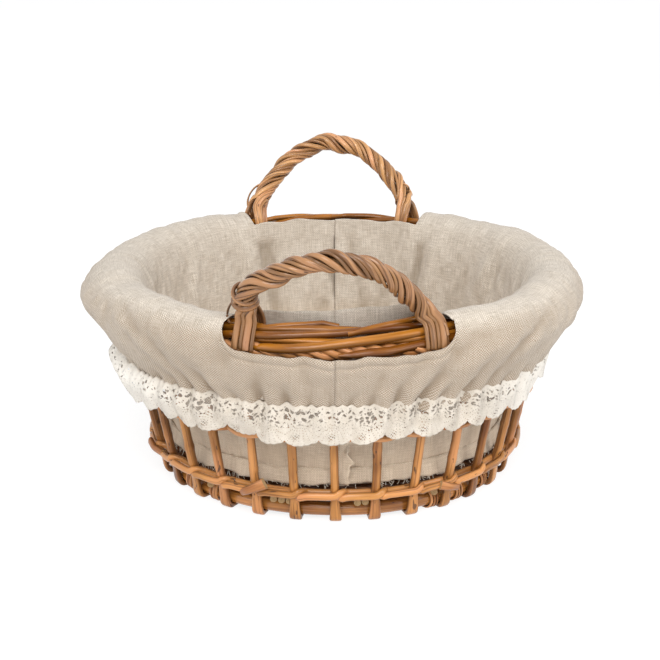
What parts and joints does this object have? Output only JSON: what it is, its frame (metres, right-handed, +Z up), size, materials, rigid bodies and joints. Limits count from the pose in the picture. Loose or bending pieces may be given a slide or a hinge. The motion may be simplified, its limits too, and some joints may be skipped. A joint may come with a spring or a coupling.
{
  "type": "knitting basket",
  "caption": "Round willow skeleton basket with leaning stakes, two twisted end handles and a lift-out linen liner folded over the border with a scalloped lace trim.",
  "frame": {"origin": "centre of the basket's footprint, on the surface it stands on", "axes": "+Z up; -Y towards the front handle, +Y towards the back one, +X to the right seen from the front"},
  "size_m": [0.4072, 0.4059, 0.2351],
  "materials": {
    "stakes": "buff willow, satin",
    "base_sticks": "buff willow with cut end grain",
    "hoops": "buff willow, satin",
    "floor_weave": "buff willow weavers, satin",
    "wales": "buff willow, satin",
    "border": "buff willow, glossy",
    "handles": "twisted willow, satin",
    "linen": "plain woven linen",
    "lace": "cotton bobbin lace",
    "elastic": "woven elastic"
  },
  "bodies": {
    "basket": {"stake_01": "stakes", "stake_02": "stakes", "stake_03": "stakes", "stake_04": "stakes", "stake_05": "stakes", "stake_06": "stakes", "stake_07": "stakes", "stake_08": "stakes", "stake_09": "stakes", "stake_10": "stakes", "stake_11": "stakes", "stake_12": "stakes", "stake_13": "stakes", "stake_14": "stakes", "stake_15": "stakes", "stake_16": "stakes", "stake_17": "stakes", "stake_18": "stakes", "stake_19": "stakes", "stake_20": "stakes", "stake_21": "stakes", "stake_22": "stakes", "stake_23": "stakes", "stake_24": "stakes", "stake_25": "stakes", "stake_26": "stakes", "stake_27": "stakes", "stake_28": "stakes", "stake_29": "stakes", "stake_30": "stakes", "base_hoop": "hoops", "binding_hoop": "hoops", "base_stick_1": "base_sticks", "base_stick_2": "base_sticks", "base_stick_3": "base_sticks", "base_stick_4": "base_sticks", "base_stick_5": "base_sticks", "base_stick_6": "base_sticks", "base_stick_7": "base_sticks", "floor_weave": "floor_weave", "lower_wale": "wales", "upper_wale": "wales", "border_rod_1": "border", "border_rod_2": "border", "border_rod_3": "border", "front_handle_rod_1": "handles", "front_handle_rod_2": "handles", "front_handle_rod_3": "handles", "front_handle_rod_4": "handles", "back_handle_rod_1": "handles", "back_handle_rod_2": "handles", "back_handle_rod_3": "handles", "back_handle_rod_4": "handles"},
    "liner": {"liner_floor": "linen", "liner_wall_left": "linen", "liner_wall_right": "linen", "liner_skirt_left": "linen", "liner_skirt_right": "linen", "lace_trim": "lace", "hem_elastic": "elastic"}
  },
  "joints": [
    {"name": "liner_lift", "type": "slide", "parent": "basket", "child": "liner", "axis": [0, 0, 1], "range_m": [0, 0.24], "deforming": ["liner_skirt_left", "liner_skirt_right", "lace_trim", "hem_elastic"]}
  ]
}
